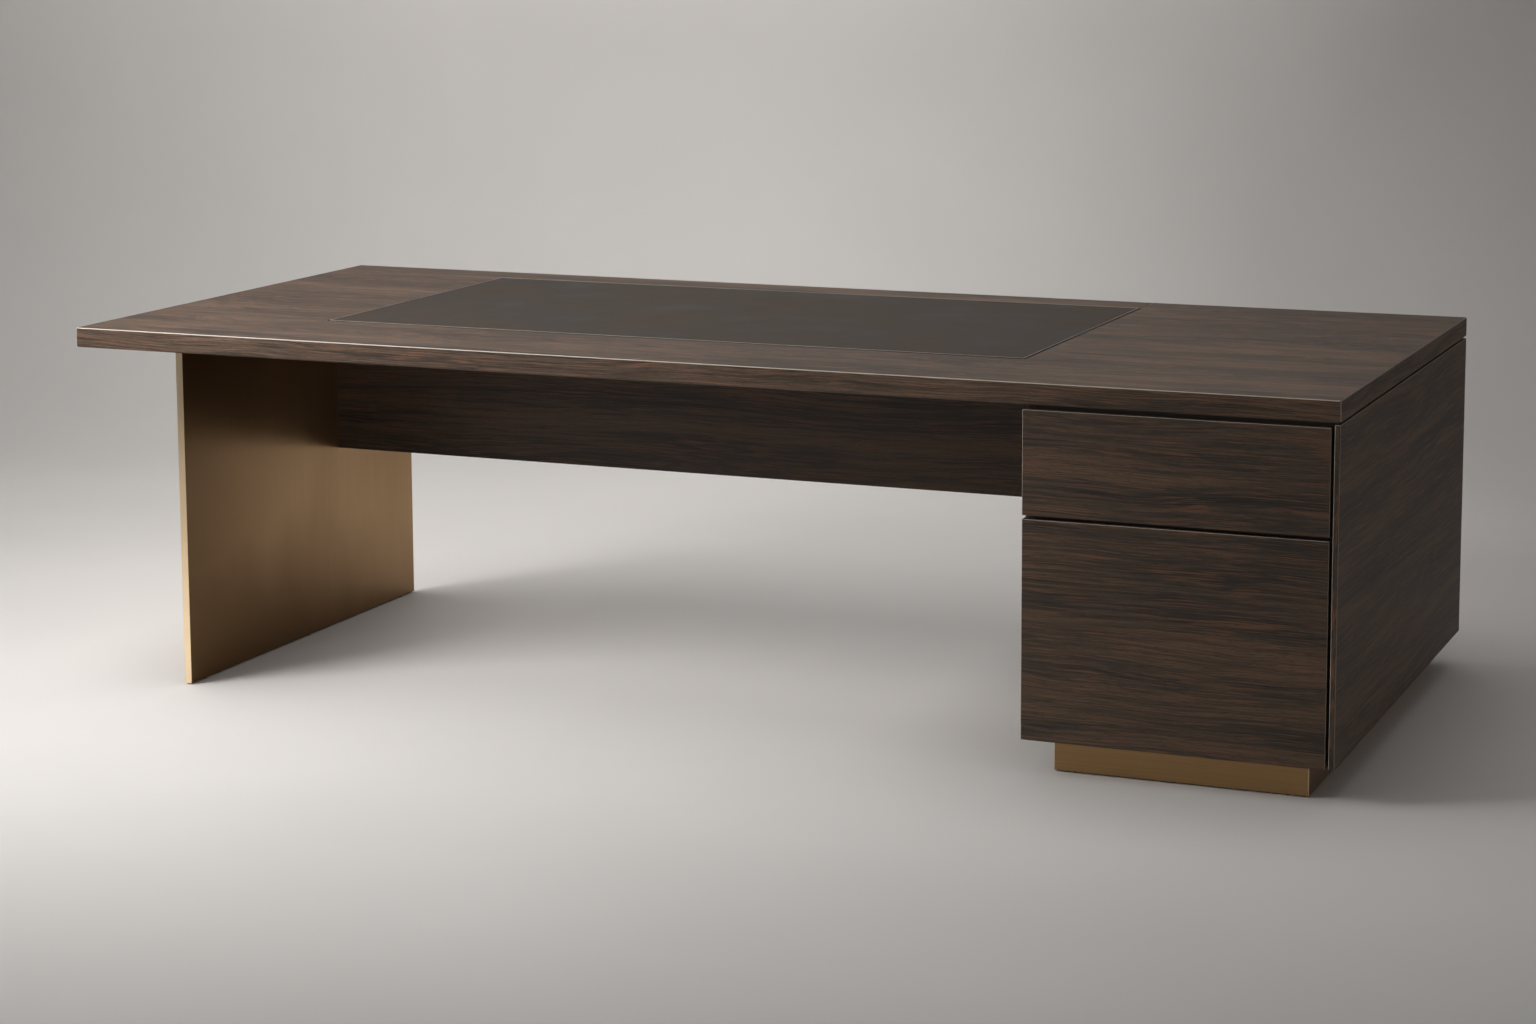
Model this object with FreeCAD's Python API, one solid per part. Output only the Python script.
# Executive desk: a veneered top with a leather inlay on a bronze-clad slab leg and a two-drawer pedestal.
# Millimetres, +Z up. The origin is on the floor under the middle of the top; the user sits at -Y.
import FreeCAD, Part
import math
import os

os.makedirs("parts", exist_ok=True)

V = FreeCAD.Vector

# Overall size
DESK_W = 2700.0
DESK_D = 1200.0
DESK_H = 750.0

# Top slab and its leather inlay
TOP_T = 42.0
TOP_EASE = 2.5
TOP_LOWER_EASE = 4.5
INLAY_W = 1570.0
INLAY_D = 810.0
INLAY_LEFT = 443.0
INLAY_FRONT = 281.0
INLAY_BOARD_T = 3.0
LEATHER_T = 2.5
LEATHER_PROUD = 1.0
LEATHER_EASE = 0.8
LEATHER_GAP = 0.8

# Slab leg: a board core in a folded metal skin
LEG_T = 16.0
LEG_D = 968.0
LEG_LEFT = 244.0
LEG_SETBACK = 2.0
SKIN_T = 1.5
SKIN_BEND = 1.2
BRACKET_L = 120.0
BRACKET_LEG = 40.0
BRACKET_T = 4.0
BRACKET_AT = (-200.0, 220.0)

# Modesty panel, held at each end by two cam fittings
MODESTY_T = 20.0
MODESTY_H = 303.0
MODESTY_FRONT = 632.0
CAM_R = 7.5
CAM_DEPTH = 13.0
CAM_REACH = 34.0
CAM_HEIGHTS = (455.0, 655.0)

# Pedestal carcass
PED_W = 600.0
PED_LIFT = 66.0
BOARD_T = 18.0
END_T = 11.0
END_GAP = 3.0
PANEL_EASE = 1.5
CARCASS_SETBACK = 24.0
PARTITION_Y = 20.0
DRAWER_RAIL_D = 60.0
DOWEL_R = 4.0
DOWEL_L = 30.0
DOWEL_IN_SIDE = 12.0

# Plinth channels and floor glides
PLINTH_SIDE = 55.0
PLINTH_FRONT = 39.0
PLINTH_DEPTH = 18.0
PLINTH_WALL = 2.5
PLINTH_EASE = 1.5
GLIDE_R = 6.5
GLIDE_H = 3.0
GLIDE_PIN_R = 2.5
GLIDE_PIN_L = 10.0

# Drawers
FRONT_T = 20.0
GAP_TOP = 9.0
GAP_MID = 7.0
GAP_SIDE = 6.0
UPPER_FRONT_H = 201.0
BOX_T = 14.0
BOX_D = 540.0
BOTTOM_T = 8.0
BOTTOM_UP = 12.0
GROOVE = 6.0
UPPER_BOX_Z = (520.0, 670.0)
LOWER_BOX_Z = (98.0, 440.0)
UPPER_TAILS = 4
LOWER_TAILS = 9
TAIL_SHARE = 0.62
TAIL_SLOPE = 10.0

# Telescopic ball runners; pairs of numbers are (distance from the carcass side, height from the runner's middle)
RUNNER_L = 500.0
RUNNER_W = 12.8
RUNNER_BEHIND = 2.0
SHEET = 1.2
RACE_R = 2.2
CABINET_RACE_HALF = 60.0
DRAWER_RACE_HALF = 30.0
BALL_R = 1.85
BALL_CLEAR = 0.3
OUTER_BALL = (6.4, 19.1)
INNER_BALL = (8.3, 13.6)
MIDDLE_WEB = 4.4
MIDDLE_TIP = 10.4
MIDDLE_LIP = 1.1
CAGE_L = 230.0
CAGE_T = 0.6
OUTER_CAGE = (1.8, 9.2)
INNER_CAGE = (5.2, 10.6)
BALLS_PER_ROW = 3

# Push latches
LATCH_FLANGE_R = 16.0
LATCH_R = 8.0
LATCH_BORE_R = 4.2
LATCH_L = 46.0
LATCH_FLANGE_T = 4.0
PLUNGER_R = 3.6
PLUNGER_TIP_R = 5.0
PLUNGER_REACH = 59.6

# Places that follow from the sizes above
LEFT_X = -DESK_W / 2
RIGHT_X = DESK_W / 2
FRONT_Y = -DESK_D / 2
BACK_Y = DESK_D / 2
TOP_Z = DESK_H - TOP_T
LEATHER_Z = DESK_H + LEATHER_PROUD
POCKET_DEPTH = INLAY_BOARD_T + LEATHER_T - LEATHER_PROUD
LEG_X = (LEFT_X + LEG_LEFT, LEFT_X + LEG_LEFT + LEG_T)
LEG_Y = (FRONT_Y + LEG_SETBACK, FRONT_Y + LEG_SETBACK + LEG_D)
MODESTY_Y = (FRONT_Y + MODESTY_FRONT, FRONT_Y + MODESTY_FRONT + MODESTY_T)
PED_X = RIGHT_X - PED_W
END_X = RIGHT_X - END_T
BAY_X = (PED_X + BOARD_T, END_X - BOARD_T)
BAY_MID = (BAY_X[0] + BAY_X[1]) / 2
CARCASS_Y = (FRONT_Y + CARCASS_SETBACK, BACK_Y - BOARD_T)
FLOOR_Z = (PED_LIFT, PED_LIFT + BOARD_T)
ROOF_Z = (TOP_Z - BOARD_T, TOP_Z)
UPPER_FRONT_Z = (TOP_Z - GAP_TOP - UPPER_FRONT_H, TOP_Z - GAP_TOP)
LOWER_FRONT_Z = (PED_LIFT, UPPER_FRONT_Z[0] - GAP_MID)
RAIL_MID_Z = UPPER_FRONT_Z[0] - GAP_MID / 2
PLINTH_X = (PED_X + PLINTH_SIDE, RIGHT_X - PLINTH_SIDE)
PLINTH_Y = (FRONT_Y + PLINTH_FRONT, BACK_Y - PLINTH_FRONT)
BOX_X = (BAY_X[0] + RUNNER_W, BAY_X[1] - RUNNER_W)
BOX_Y = (FRONT_Y + FRONT_T, FRONT_Y + FRONT_T + BOX_D)
RUNNER_Y = CARCASS_Y[0] + RUNNER_BEHIND
RUNNER_SCREWS_Y = (RUNNER_Y + 40.0, RUNNER_Y + RUNNER_L / 2, RUNNER_Y + RUNNER_L - 40.0)


def block(x, y, z):
    """Box between the low and high values given for each axis."""
    return Part.makeBox(x[1] - x[0], y[1] - y[0], z[1] - z[0], V(x[0], y[0], z[0]))


def bar(radius, start, end):
    """Round bar of one radius between two points."""
    return Part.makeCylinder(radius, (end - start).Length, start, end - start)


def turned(profile, at, axis):
    """Turned piece from (radius, distance) points, its distances measured from a point along an axis."""
    points = [V(r, 0, h) for r, h in profile]
    face = Part.Face(Part.makePolygon(points + points[:1]))
    solid = face.revolve(V(0, 0, 0), V(0, 0, 1), 360)
    solid.Placement = FreeCAD.Placement(at, FreeCAD.Rotation(V(0, 0, 1), axis))
    return solid


def eased(solid, radius, keep=None):
    """Rounds the edges of a board, all of them or those that the test picks."""
    return solid.makeFillet(radius, [e for e in solid.Edges if keep is None or keep(e)])


def bored(solid, cutters):
    """Takes a list of cutting shapes out of a solid."""
    return solid.cut(Part.makeCompound(cutters)) if cutters else solid


def prism(points, along):
    """Straight prism over a closed outline."""
    return Part.Face(Part.makePolygon(points + points[:1])).extrude(along)


def hexagon_socket(at, axis, across, depth):
    """Cutter for a six-sided driving socket sunk from a point along an axis."""
    radius = across / math.sqrt(3)
    angles = [math.radians(60 * i) for i in range(6)]
    cutter = prism([V(radius * math.cos(a), radius * math.sin(a), 0) for a in angles], V(0, 0, depth))
    cutter.Placement = FreeCAD.Placement(at, FreeCAD.Rotation(V(0, 0, 1), axis))
    return cutter


def pan_screw(at, axis, head_r, head_h, shank_r, length):
    """Pan-head screw whose head rests on a surface at a point and whose shank goes in along the axis."""
    profile = [(0, -head_h), (head_r * 0.7, -head_h), (head_r, -head_h * 0.5), (head_r, 0), (shank_r, 0)]
    profile += [(shank_r, length - shank_r), (0, length)]
    socket = hexagon_socket(at - axis * (head_h + 0.5), axis, head_r * 0.8, head_h * 0.6 + 0.5)
    return turned(profile, at, axis).cut(socket)


def flat_screw(at, axis, head_r, shank_r, length):
    """Countersunk screw whose head ends flush with a surface at a point."""
    profile = [(0, 0), (head_r, 0), (shank_r, head_r - shank_r), (shank_r, length - shank_r), (0, length)]
    socket = hexagon_socket(at - axis * 0.5, axis, head_r * 0.8, 1.4)
    return turned(profile, at, axis).cut(socket)


def flat_bore(at, axis, head_r, shank_r, length):
    """Cutter of the same form as a countersunk screw."""
    profile = [(0, 0), (head_r, 0), (shank_r, head_r - shank_r), (shank_r, length - shank_r), (0, length)]
    return turned(profile, at, axis)


def pan_bore(at, axis, shank_r, length):
    """Cutter of the same form as a screw's shank."""
    return turned([(0, 0), (shank_r, 0), (shank_r, length - shank_r), (0, length)], at, axis)


FIXING = dict(head_r=4.5, head_h=2.6, shank_r=2.25, length=14.0)
RUNNER_SCREW = dict(head_r=3.1, shank_r=1.9, length=14.0)
MEMBER_SCREW = dict(head_r=3.4, head_h=2.0, shank_r=1.75, length=12.0)
FRONT_SCREW = dict(head_r=4.5, head_h=2.6, shank_r=2.0, length=28.0)
END_SCREW = dict(head_r=4.0, shank_r=2.0, length=25.0)
DESKTOP_BOLT = dict(head_r=7.0, head_h=4.0, shank_r=3.0, length=42.0)


def shank(screw):
    """The sizes of a pan-head screw that its bore needs."""
    return dict(shank_r=screw["shank_r"], length=screw["length"])


def bracket_screw_places():
    """Head seats and directions of the screws in the leg's two angle brackets."""
    places = []
    for middle in BRACKET_AT:
        for y in (middle - 40, middle + 40):
            places.append((V(LEG_X[1] + BRACKET_T, y, TOP_Z - 26), V(-1, 0, 0)))
            places.append((V(LEG_X[1] + 26, y, TOP_Z - BRACKET_T), V(0, 0, 1)))
    return places


def plinth_screw_places():
    """Head seats and directions of the screws that hold the plinth's upper flanges to the pedestal floor."""
    z = PED_LIFT - PLINTH_WALL
    places = []
    for x in (PLINTH_X[0] + 110, PLINTH_X[1] - 110):
        places += [(V(x, y, z), V(0, 0, 1)) for y in (PLINTH_Y[0] + 10, PLINTH_Y[1] - 10)]
    for y in (-280.0, 280.0):
        places += [(V(x, y, z), V(0, 0, 1)) for x in (PLINTH_X[0] + 10, PLINTH_X[1] - 10)]
    return places


def glide_places():
    """Points on the undersides of the leg and the plinth where the floor glides sit."""
    leg_x = (LEG_X[0] + LEG_X[1]) / 2
    leg = [V(leg_x, y, GLIDE_H) for y in (LEG_Y[0] + 60, (LEG_Y[0] + LEG_Y[1]) / 2, LEG_Y[1] - 60)]
    inset = PLINTH_DEPTH / 2 + 1
    plinth = []
    for x in (PLINTH_X[0] + 40, PLINTH_X[1] - 40):
        plinth += [V(x, y, GLIDE_H) for y in (PLINTH_Y[0] + inset, PLINTH_Y[1] - inset)]
    plinth += [V(x, 0, GLIDE_H) for x in (PLINTH_X[0] + inset, PLINTH_X[1] - inset)]
    return leg, plinth


def glide(at):
    """Nailed-in floor glide: a chamfered disc with a pin that goes up into the piece above."""
    profile = [(0, -GLIDE_H), (GLIDE_R - 1, -GLIDE_H), (GLIDE_R, -GLIDE_H + 1), (GLIDE_R, 0), (GLIDE_PIN_R, 0)]
    profile += [(GLIDE_PIN_R, GLIDE_PIN_L - 2), (0, GLIDE_PIN_L)]
    return turned(profile, at, V(0, 0, 1))


def desktop_bolt_places():
    """Head seats, under the pedestal roof, of the bolts that go up into the top."""
    return [V(x, y, ROOF_Z[0]) for x in (BAY_X[0] + 62, BAY_X[1] - 62) for y in (-440.0, 440.0)]


def dowel_places():
    """Middle lines of the carcass dowels, as (point on a side board's inner face, inward direction)."""
    heights = [((FLOOR_Z[0] + FLOOR_Z[1]) / 2, y) for y in (-480.0, -60.0, 400.0)]
    heights += [((ROOF_Z[0] + ROOF_Z[1]) / 2, y) for y in (-480.0, -60.0, 400.0)]
    heights += [(RAIL_MID_Z, CARCASS_Y[0] + d) for d in (14.0, 46.0)]
    heights += [(z, PARTITION_Y + BOARD_T / 2) for z in (200.0, 560.0)]
    places = []
    for z, y in heights:
        places.append((V(BAY_X[0], y, z), V(1, 0, 0)))
        places.append((V(BAY_X[1], y, z), V(-1, 0, 0)))
    return places


def dowel(at, inward):
    """Chamfered wooden dowel across the joint between a side board and the board that meets it."""
    start = at - inward * DOWEL_IN_SIDE
    profile = [(0, 0), (DOWEL_R - 1, 0), (DOWEL_R, 1), (DOWEL_R, DOWEL_L - 1), (DOWEL_R - 1, DOWEL_L), (0, DOWEL_L)]
    return turned(profile, start, inward)


def dowel_bores():
    """Round holes for all the carcass dowels."""
    return [bar(DOWEL_R, p - d * DOWEL_IN_SIDE, p + d * (DOWEL_L - DOWEL_IN_SIDE)) for p, d in dowel_places()]


def end_screw_places():
    """Head seats, on the right side's inner face, of the screws that hold the end panel."""
    return [V(BAY_X[1], y, z) for y in (-520.0, 500.0) for z in (130.0, 400.0, 650.0)]


def cam_places():
    """Faces where the modesty panel meets the leg and the pedestal, with the way into the panel."""
    y = (MODESTY_Y[0] + MODESTY_Y[1]) / 2
    places = []
    for z in CAM_HEIGHTS:
        places.append((V(LEG_X[1], y, z), V(1, 0, 0)))
        places.append((V(PED_X, y, z), V(-1, 0, 0)))
    return places


def cam_bolt(at, inward):
    """Cam bolt: threaded end in the neighbour, collar at the joint, neck and head in the cam."""
    profile = [(0, -11), (2.4, -11), (3.0, -10), (3.0, 0), (3.8, 0), (3.8, 1.5), (2.4, 1.5), (2.4, 29)]
    profile += [(1.6, 30), (1.6, 32.5), (3.2, 33), (3.2, 36), (0, 37)]
    return turned(profile, at, inward)


def cam_disc(at, inward):
    """Cam disc let into the back of the modesty panel, hollowed for the bolt, with a cross slot to turn it."""
    middle = V(at.x + inward.x * CAM_REACH, MODESTY_Y[1] - CAM_DEPTH, at.z)
    disc = bar(CAM_R, middle, middle + V(0, CAM_DEPTH, 0))
    axis_y = at.y
    hollow = bar(4.0, V(middle.x - inward.x * 12, axis_y, at.z), V(middle.x + inward.x * 4, axis_y, at.z))
    slots = [
        block((middle.x - a, middle.x + a), (MODESTY_Y[1] - 2, MODESTY_Y[1] + 1), (at.z - b, at.z + b))
        for a, b in ((0.8, 4.5), (4.5, 0.8))
    ]
    return bored(disc, [hollow] + slots)


def latch_places():
    """Points on the partition's front face behind the middle of each drawer back."""
    return [V(BAY_MID, PARTITION_Y, (z[0] + z[1]) / 2) for z in (UPPER_BOX_Z, LOWER_BOX_Z)]


def latch_screw_places():
    """Head seats on the latch flanges."""
    offset = V(11.8, 0, 0)
    front = V(0, -LATCH_FLANGE_T, 0)
    return [p + front + s * offset for p in latch_places() for s in (-1, 1)]


def latch_housing(at):
    """Round push-latch housing on a flange, with a blind bore for its plunger."""
    profile = [(0, 0), (LATCH_FLANGE_R, 0), (LATCH_FLANGE_R, LATCH_FLANGE_T - 1), (LATCH_FLANGE_R - 1, LATCH_FLANGE_T)]
    profile += [(LATCH_R, LATCH_FLANGE_T), (LATCH_R, LATCH_L - 2), (LATCH_R - 1, LATCH_L), (LATCH_BORE_R, LATCH_L)]
    profile += [(LATCH_BORE_R, 16), (0, 16)]
    bores = [flat_bore(p, V(0, 1, 0), **RUNNER_SCREW) for p in latch_screw_places() if abs(p.z - at.z) < 1]
    return bored(turned(profile, at, V(0, -1, 0)), bores)


def latch_plunger(at):
    """Plunger with a rounded soft tip that bears on the drawer's back."""
    profile = [(0, 20.5), (PLUNGER_R, 20.5), (PLUNGER_R, 51), (PLUNGER_TIP_R, 51), (PLUNGER_TIP_R, 57)]
    profile += [(PLUNGER_TIP_R - 1.2, 59), (PLUNGER_TIP_R - 2.6, PLUNGER_REACH), (0, PLUNGER_REACH)]
    return turned(profile, at, V(0, -1, 0))


def desktop():
    """Top slab with eased edges, the inlay's pocket, and bores for the bolts and bracket screws."""
    slab = block((LEFT_X, RIGHT_X), (FRONT_Y, BACK_Y), (TOP_Z, DESK_H))
    slab = eased(slab, TOP_LOWER_EASE, lambda e: e.BoundBox.ZMax < TOP_Z + 0.1)
    upright = TOP_T / 2
    slab = eased(slab, TOP_EASE, lambda e: e.BoundBox.ZLength > upright or e.BoundBox.ZMin > DESK_H - 0.1)
    x = (LEFT_X + INLAY_LEFT, LEFT_X + INLAY_LEFT + INLAY_W)
    y = (FRONT_Y + INLAY_FRONT, FRONT_Y + INLAY_FRONT + INLAY_D)
    pocket = block(x, y, (DESK_H - POCKET_DEPTH, DESK_H + 1))
    up = V(0, 0, 1)
    bores = [pan_bore(p, up, **shank(DESKTOP_BOLT)) for p in desktop_bolt_places()]
    bores += [pan_bore(p, a, **shank(FIXING)) for p, a in bracket_screw_places() if a.z > 0]
    return bored(slab, [pocket] + bores)


def inlay(low, high, gap):
    """One layer of the inlay between two depths under the top's face."""
    x = (LEFT_X + INLAY_LEFT + gap, LEFT_X + INLAY_LEFT + INLAY_W - gap)
    y = (FRONT_Y + INLAY_FRONT + gap, FRONT_Y + INLAY_FRONT + INLAY_D - gap)
    return block(x, y, (DESK_H - low, DESK_H - high))


def leather():
    """Leather sheet that fills the pocket and stands a little proud, with a rounded upper edge."""
    sheet = inlay(POCKET_DEPTH - INLAY_BOARD_T, -LEATHER_PROUD, LEATHER_GAP)
    return eased(sheet, LEATHER_EASE, lambda e: e.BoundBox.ZMin > LEATHER_Z - 0.1)


def leg():
    """Core board and folded skin of the slab leg."""
    z = (GLIDE_H, TOP_Z)
    inner_x = (LEG_X[0] + SKIN_T, LEG_X[1] - SKIN_T)
    inner_y = (LEG_Y[0] + SKIN_T, LEG_Y[1] - SKIN_T)
    core = block(inner_x, inner_y, z)
    outside = eased(block(LEG_X, LEG_Y, z), SKIN_BEND, lambda e: abs(e.Vertexes[0].Z - e.Vertexes[-1].Z) > 1)
    skin = outside.cut(core)
    bores = [pan_bore(p, a, **shank(FIXING)) for p, a in bracket_screw_places() if a.x < 0]
    bores += [bar(3.0, p, p - d * 11) for p, d in cam_places() if d.x > 0]
    pins = [bar(GLIDE_PIN_R, p, p + V(0, 0, GLIDE_PIN_L)) for p in glide_places()[0]]
    return bored(core, bores + pins), bored(skin, bores)


def bracket(middle):
    """Steel angle between the leg's inner face and the underside of the top."""
    x, z, t = LEG_X[1], TOP_Z, BRACKET_T
    y = middle - BRACKET_L / 2
    outline = [(0, 0), (BRACKET_LEG, 0), (BRACKET_LEG, t), (t, t), (t, BRACKET_LEG), (0, BRACKET_LEG)]
    angle = prism([V(x + a, y, z - b) for a, b in outline], V(0, BRACKET_L, 0))

    def is_bend(edge):
        p = edge.Vertexes[0].Point
        return abs(edge.Length - BRACKET_L) < 1e-6 and abs(p.x - x - t) < 1e-6 and abs(p.z - z + t) < 1e-6

    angle = eased(angle, 3.0, is_bend)
    near = [(p, a) for p, a in bracket_screw_places() if abs(p.y - middle) < BRACKET_L / 2]
    return bored(angle, [pan_bore(p, a, **shank(FIXING)) for p, a in near])


def modesty_panel():
    """Board between leg and pedestal with end bores for the cam bolts and pockets for the cams."""
    board = block((LEG_X[1], PED_X), MODESTY_Y, (TOP_Z - MODESTY_H, TOP_Z))
    low = TOP_Z - MODESTY_H + 0.1
    board = eased(board, PANEL_EASE, lambda e: e.BoundBox.ZMax < low and e.BoundBox.XLength > 1)
    bores = []
    for at, inward in cam_places():
        bores.append(bar(4.0, at, at + inward * (CAM_REACH + 4)))
        seat = V(at.x + inward.x * CAM_REACH, MODESTY_Y[1] - CAM_DEPTH, at.z)
        bores.append(bar(CAM_R, seat, seat + V(0, CAM_DEPTH, 0)))
    return bored(board, bores)


def runner_screw_places():
    """Head seats and directions of the countersunk screws in the cabinet members."""
    places = []
    for low, high in (UPPER_BOX_Z, LOWER_BOX_Z):
        for y in RUNNER_SCREWS_Y:
            places.append((V(BAY_X[0] + SHEET, y, (low + high) / 2), V(-1, 0, 0)))
            places.append((V(BAY_X[1] - SHEET, y, (low + high) / 2), V(1, 0, 0)))
    return places


def carcass():
    """Boards of the pedestal, bored for dowels, runner screws, cam bolts and latches."""
    dowels = dowel_bores()
    runner_bores = [flat_bore(p, a, **RUNNER_SCREW) for p, a in runner_screw_places()]
    cam_bores = [bar(3.0, p, p - d * 11) for p, d in cam_places() if d.x < 0]
    end_bores = [flat_bore(p, V(1, 0, 0), **END_SCREW) for p in end_screw_places()]
    up = V(0, 0, 1)
    bolt_bores = [pan_bore(p, up, **shank(DESKTOP_BOLT)) for p in desktop_bolt_places()]
    plinth_bores = [pan_bore(p, a, **shank(FIXING)) for p, a in plinth_screw_places()]
    latch_bores = [flat_bore(p, V(0, 1, 0), **RUNNER_SCREW) for p in latch_screw_places()]
    sides_z = (PED_LIFT, TOP_Z)
    rail_y = (CARCASS_Y[0], CARCASS_Y[0] + DRAWER_RAIL_D)
    rail_z = (RAIL_MID_Z - BOARD_T / 2, RAIL_MID_Z + BOARD_T / 2)
    partition_y = (PARTITION_Y, PARTITION_Y + BOARD_T)
    left = block((PED_X, BAY_X[0]), CARCASS_Y, sides_z)
    right = block((BAY_X[1], END_X), CARCASS_Y, sides_z)
    end = eased(block((END_X, RIGHT_X), (FRONT_Y, BACK_Y), (PED_LIFT, TOP_Z - END_GAP)), PANEL_EASE)
    back = eased(block((PED_X, END_X), (BACK_Y - BOARD_T, BACK_Y), (PED_LIFT, TOP_Z - END_GAP)), PANEL_EASE)
    return {
        "pedestal_left_side": bored(left, [b for b in dowels + runner_bores if b.BoundBox.XMin < BAY_MID] + cam_bores),
        "pedestal_right_side": bored(right, [b for b in dowels + runner_bores if b.BoundBox.XMin > BAY_MID] + end_bores),
        "end_panel": bored(end, end_bores),
        "pedestal_back": back,
        "pedestal_floor": bored(block(BAY_X, CARCASS_Y, FLOOR_Z), dowels + plinth_bores),
        "pedestal_roof": bored(block(BAY_X, CARCASS_Y, ROOF_Z), dowels + bolt_bores),
        "partition": bored(block(BAY_X, partition_y, (FLOOR_Z[1], ROOF_Z[0])), dowels + latch_bores),
        "drawer_rail": bored(block(BAY_X, rail_y, rail_z), dowels),
    }


def plinth_rail(start, end, inward):
    """Mitred channel between two outer corners, its web outside and its flanges turned inward."""
    along = (end - start).normalize()

    def strip(depth, low, high):
        points = [start, end, end + inward * depth - along * depth, start + inward * depth + along * depth]
        return prism([V(p.x, p.y, low) for p in points], V(0, 0, high - low))

    web = strip(PLINTH_WALL, GLIDE_H, PED_LIFT)
    lower = strip(PLINTH_DEPTH, GLIDE_H, GLIDE_H + PLINTH_WALL)
    upper = strip(PLINTH_DEPTH, PED_LIFT - PLINTH_WALL, PED_LIFT)
    outside = block(PLINTH_X, PLINTH_Y, (GLIDE_H, PED_LIFT))
    outside = eased(outside, PLINTH_EASE, lambda e: e.BoundBox.ZLength > 1)
    channel = web.fuse([lower, upper]).removeSplitter().common(outside)
    bores = [pan_bore(p, a, **shank(FIXING)) for p, a in plinth_screw_places()]
    bores += [bar(GLIDE_PIN_R, p, p + V(0, 0, GLIDE_PIN_L)) for p in glide_places()[1]]
    return bored(channel, bores)


def plinth():
    """Four plinth rails that meet in mitred corners."""
    x, y = PLINTH_X, PLINTH_Y
    corners = [V(x[0], y[0], 0), V(x[1], y[0], 0), V(x[1], y[1], 0), V(x[0], y[1], 0)]
    inward = [V(0, 1, 0), V(-1, 0, 0), V(0, -1, 0), V(1, 0, 0)]
    names = ["plinth_front", "plinth_right", "plinth_back", "plinth_left"]
    return {n: plinth_rail(corners[i], corners[(i + 1) % 4], inward[i]) for i, n in enumerate(names)}


def dovetailed_side(x, z, tails):
    """Drawer side with dovetails cut on both ends."""
    pitch = (z[1] - z[0]) / tails
    wide = pitch * TAIL_SHARE / 2
    narrow = wide - BOX_T * math.tan(math.radians(TAIL_SLOPE))
    middles = [z[0] + pitch * (i + 0.5) for i in range(tails)]
    front, back = BOX_Y[0] + BOX_T, BOX_Y[1] - BOX_T
    outline = [(front, z[0]), (back, z[0])]
    for m in middles:
        outline += [(back, m - narrow), (BOX_Y[1], m - wide), (BOX_Y[1], m + wide), (back, m + narrow)]
    outline += [(back, z[1]), (front, z[1])]
    for m in reversed(middles):
        outline += [(front, m + narrow), (BOX_Y[0], m + wide), (BOX_Y[0], m - wide), (front, m - narrow)]
    return prism([V(x[0], a, b) for a, b in outline], V(x[1] - x[0], 0, 0))


def drawer(name, front_z, box_z, tails):
    """Drawer with an applied front on a dovetailed box, a grooved-in bottom and its screws."""
    middle = (box_z[0] + box_z[1]) / 2
    front_x = (PED_X, END_X - GAP_SIDE)
    seats = [
        V(x, BOX_Y[0] + BOX_T, z)
        for x in (BOX_X[0] + 110, BOX_X[1] - 110)
        for z in (box_z[0] + 45, box_z[1] - 35)
    ]
    front_bores = [pan_bore(p, V(0, -1, 0), **shank(FRONT_SCREW)) for p in seats]
    inner_x = (BOX_X[0] + BOX_T, BOX_X[1] - BOX_T)
    inner_y = (BOX_Y[0] + BOX_T, BOX_Y[1] - BOX_T)
    bottom_z = (box_z[0] + BOTTOM_UP, box_z[0] + BOTTOM_UP + BOTTOM_T)
    bottom = block(
        (inner_x[0] - GROOVE, inner_x[1] + GROOVE), (inner_y[0] - GROOVE, inner_y[1] + GROOVE), bottom_z
    )
    left = dovetailed_side((BOX_X[0], inner_x[0]), box_z, tails)
    right = dovetailed_side((inner_x[1], BOX_X[1]), box_z, tails)
    box_front = block(BOX_X, (BOX_Y[0], inner_y[0]), box_z)
    box_back = block(BOX_X, (inner_y[1], BOX_Y[1]), box_z)
    rails_left = [(V(BOX_X[0] - SHEET, y, middle), V(1, 0, 0)) for y in RUNNER_SCREWS_Y]
    rails_right = [(V(BOX_X[1] + SHEET, y, middle), V(-1, 0, 0)) for y in RUNNER_SCREWS_Y]
    bores_left = [pan_bore(p, a, **shank(MEMBER_SCREW)) for p, a in rails_left]
    bores_right = [pan_bore(p, a, **shank(MEMBER_SCREW)) for p, a in rails_right]
    front = eased(block(front_x, (FRONT_Y, FRONT_Y + FRONT_T), front_z), PANEL_EASE)
    screws = [pan_screw(p, V(0, -1, 0), **FRONT_SCREW) for p in seats]
    member_screws = [pan_screw(p, a, **MEMBER_SCREW) for p, a in rails_left + rails_right]
    return {
        f"{name}_front": bored(front, front_bores),
        f"{name}_box_front": bored(box_front, [left, right, bottom] + front_bores),
        f"{name}_box_back": bored(box_back, [left, right, bottom]),
        f"{name}_box_left": bored(left, [bottom] + bores_left),
        f"{name}_box_right": bored(right, [bottom] + bores_right),
        f"{name}_box_bottom": bottom,
        f"{name}_front_screws": Part.makeCompound(screws),
        f"{name}_drawer_member_screws": Part.makeCompound(member_screws),
    }


def path(points):
    """Open wire in the runner's own plane: pairs are corners, (centre, radius, from, to) are arcs in degrees."""
    edges = []
    last = None
    for step in points:
        if len(step) == 2:
            ends = [V(step[0], 0, step[1])] * 2
            arc = None
        else:
            centre, radius, first, final = step
            angles = [math.radians(a) for a in (first, (first + final) / 2, final)]
            on = [V(centre[0] + radius * math.cos(a), 0, centre[1] + radius * math.sin(a)) for a in angles]
            ends = [on[0], on[2]]
            arc = Part.Arc(*on).toShape()
        if last is not None and (ends[0] - last).Length > 1e-7:
            edges.append(Part.makeLine(last, ends[0]))
        if arc is not None:
            edges.append(arc)
        last = ends[1]
    return Part.Wire(edges)


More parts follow.
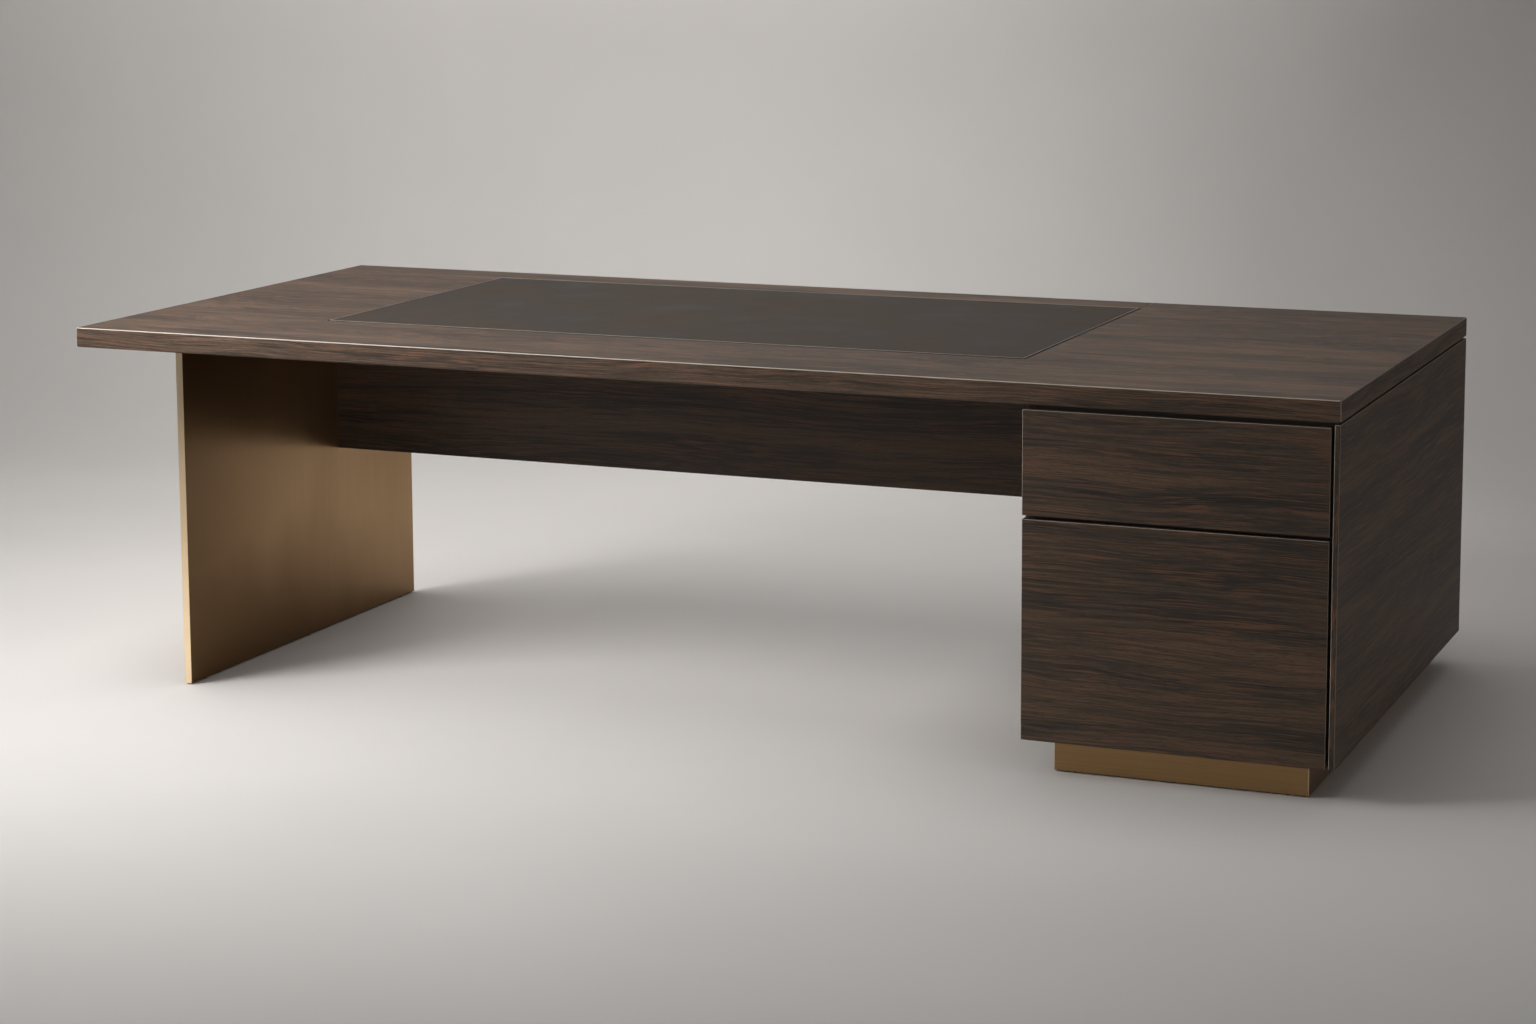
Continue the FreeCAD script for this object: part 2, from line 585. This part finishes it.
def rolled(points, thickness, length):
    """Sheet-metal member: a path thickened to one side and drawn out along +Y."""
    section = path(points).makeOffset2D(thickness, 0, True, True)
    return section.extrude(V(0, length, 0))


def cabinet_member():
    """Channel fixed to the carcass, with a ball race rolled into each flange."""
    u, v = OUTER_BALL
    half = CABINET_RACE_HALF
    flat = v + RACE_R * math.cos(math.radians(half))
    bend = SHEET
    corner = SHEET + bend
    upper = [(MIDDLE_TIP, flat), ((u, v), RACE_R, 90 - half, 90 + half), ((corner, flat - bend), bend, 90, 180)]
    lower = [((corner, bend - flat), bend, 180, 270), ((u, -v), RACE_R, 270 - half, 270 + half), (MIDDLE_TIP, -flat)]
    return rolled(upper + lower, -SHEET, RUNNER_L)


def middle_member():
    """Channel that floats between the other two, its flange tips turned up to keep the balls in."""
    inside = INNER_BALL[1] + BALL_R + BALL_CLEAR
    bend = SHEET
    corner = MIDDLE_WEB + bend
    tip = MIDDLE_TIP - SHEET
    upper = [(tip + 0.6, inside + MIDDLE_LIP), (tip, inside), ((corner, inside - bend), bend, 90, 180)]
    lower = [((corner, bend - inside), bend, 180, 270), (tip, -inside), (tip + 0.6, -inside - MIDDLE_LIP)]
    return rolled(upper + lower, -SHEET, RUNNER_L)


def drawer_member():
    """Channel fixed to the drawer side, its flanges turned to the carcass and grooved for the inner balls."""
    u, v = INNER_BALL
    half = DRAWER_RACE_HALF
    flat = v - RACE_R * math.cos(math.radians(half))
    bend = SHEET * 2
    corner = RUNNER_W - bend
    tip = INNER_CAGE[0] + CAGE_T + 0.5
    upper = [(tip, flat), ((u, v), RACE_R, 270 - half, 270 + half), ((corner, flat - bend), bend, 90, 0)]
    lower = [((corner, bend - flat), bend, 0, -90), ((u, -v), RACE_R, 90 - half, 90 + half), (tip, -flat)]
    return rolled(upper + lower, -SHEET, RUNNER_L)


def ball_cage(ball, reach):
    """Strip bent round a channel's web with two rows of holes, and the balls that sit in them."""
    u, v = ball
    half = CAGE_T / 2
    outline = [(reach[1], v + half), (reach[0], v + half), (reach[0], -v - half), (reach[1], -v - half)]
    outline += [(reach[1], -v + half), (reach[0] + CAGE_T, -v + half), (reach[0] + CAGE_T, v - half), (reach[1], v - half)]
    start = (RUNNER_L - CAGE_L) / 2
    strip = prism([V(a, start, b) for a, b in outline], V(0, CAGE_L, 0))
    pitch = CAGE_L / BALLS_PER_ROW
    places = [V(u, start + pitch * (i + 0.5), s * v) for i in range(BALLS_PER_ROW) for s in (-1, 1)]
    holes = [bar(BALL_R + 0.1, p - V(0, 0, 2), p + V(0, 0, 2)) for p in places]
    return Part.makeCompound([bored(strip, holes)] + [Part.makeSphere(BALL_R, p) for p in places])


def both_sides(shape, middle):
    """Copies of a runner piece on the left and the right of the drawer bay, at one height."""
    left = shape.copy()
    left.translate(V(BAY_X[0], RUNNER_Y, middle))
    right = shape.mirror(V(0, 0, 0), V(1, 0, 0))
    right.translate(V(BAY_X[1], RUNNER_Y, middle))
    return [left, right]


def runner(name, box_z):
    """Pair of full-extension runners for one drawer, closed."""
    middle = (box_z[0] + box_z[1]) / 2
    cabinet = both_sides(cabinet_member(), middle)
    inner = both_sides(drawer_member(), middle)
    flat_bores = [flat_bore(p, a, **RUNNER_SCREW) for p, a in runner_screw_places() if abs(p.z - middle) < 1]
    member_bores = []
    for y in RUNNER_SCREWS_Y:
        member_bores.append(pan_bore(V(BOX_X[0] - SHEET, y, middle), V(1, 0, 0), **shank(MEMBER_SCREW)))
        member_bores.append(pan_bore(V(BOX_X[1] + SHEET, y, middle), V(-1, 0, 0), **shank(MEMBER_SCREW)))
    return {
        f"{name}_cabinet_rails": Part.makeCompound([bored(s, flat_bores) for s in cabinet]),
        f"{name}_middle_rails": Part.makeCompound(both_sides(middle_member(), middle)),
        f"{name}_drawer_rails": Part.makeCompound([bored(s, member_bores) for s in inner]),
        f"{name}_outer_cages": Part.makeCompound(both_sides(ball_cage(OUTER_BALL, OUTER_CAGE), middle)),
        f"{name}_inner_cages": Part.makeCompound(both_sides(ball_cage(INNER_BALL, INNER_CAGE), middle)),
    }


def fasteners():
    """Groups of identical fasteners and floor glides on the fixed frame."""
    up = V(0, 0, 1)
    fixing = [pan_screw(p, a, **FIXING) for p, a in bracket_screw_places() + plinth_screw_places()]
    countersunk = [flat_screw(p, a, **RUNNER_SCREW) for p, a in runner_screw_places()]
    countersunk += [flat_screw(p, V(0, 1, 0), **RUNNER_SCREW) for p in latch_screw_places()]
    leg_points, plinth_points = glide_places()
    return {
        "fixing_screws": Part.makeCompound(fixing),
        "countersunk_screws": Part.makeCompound(countersunk),
        "end_panel_screws": Part.makeCompound([flat_screw(p, V(1, 0, 0), **END_SCREW) for p in end_screw_places()]),
        "desktop_bolts": Part.makeCompound([pan_screw(p, up, **DESKTOP_BOLT) for p in desktop_bolt_places()]),
        "carcass_dowels": Part.makeCompound([dowel(p, d) for p, d in dowel_places()]),
        "modesty_bolts": Part.makeCompound([cam_bolt(p, d) for p, d in cam_places()]),
        "modesty_cams": Part.makeCompound([cam_disc(p, d) for p, d in cam_places()]),
        "glides": Part.makeCompound([glide(p) for p in leg_points + plinth_points]),
    }


def desk():
    """All the nodes of the desk by name."""
    core, skin = leg()
    upper_latch, lower_latch = latch_places()
    nodes = {
        "desktop": desktop(),
        "inlay_board": inlay(POCKET_DEPTH, POCKET_DEPTH - INLAY_BOARD_T, 0.2),
        "leather_inlay": leather(),
        "leg_core": core,
        "leg_skin": skin,
        "front_leg_bracket": bracket(BRACKET_AT[0]),
        "rear_leg_bracket": bracket(BRACKET_AT[1]),
        "modesty_panel": modesty_panel(),
        "upper_latch_housing": latch_housing(upper_latch),
        "lower_latch_housing": latch_housing(lower_latch),
        "upper_latch_plunger": latch_plunger(upper_latch),
        "lower_latch_plunger": latch_plunger(lower_latch),
    }
    nodes.update(carcass())
    nodes.update(plinth())
    nodes.update(drawer("upper", UPPER_FRONT_Z, UPPER_BOX_Z, UPPER_TAILS))
    nodes.update(drawer("lower", LOWER_FRONT_Z, LOWER_BOX_Z, LOWER_TAILS))
    nodes.update(runner("upper", UPPER_BOX_Z))
    nodes.update(runner("lower", LOWER_BOX_Z))
    nodes.update(fasteners())
    return nodes


for node, shape in desk().items():
    shape.exportStep(f"parts/{node}.step")
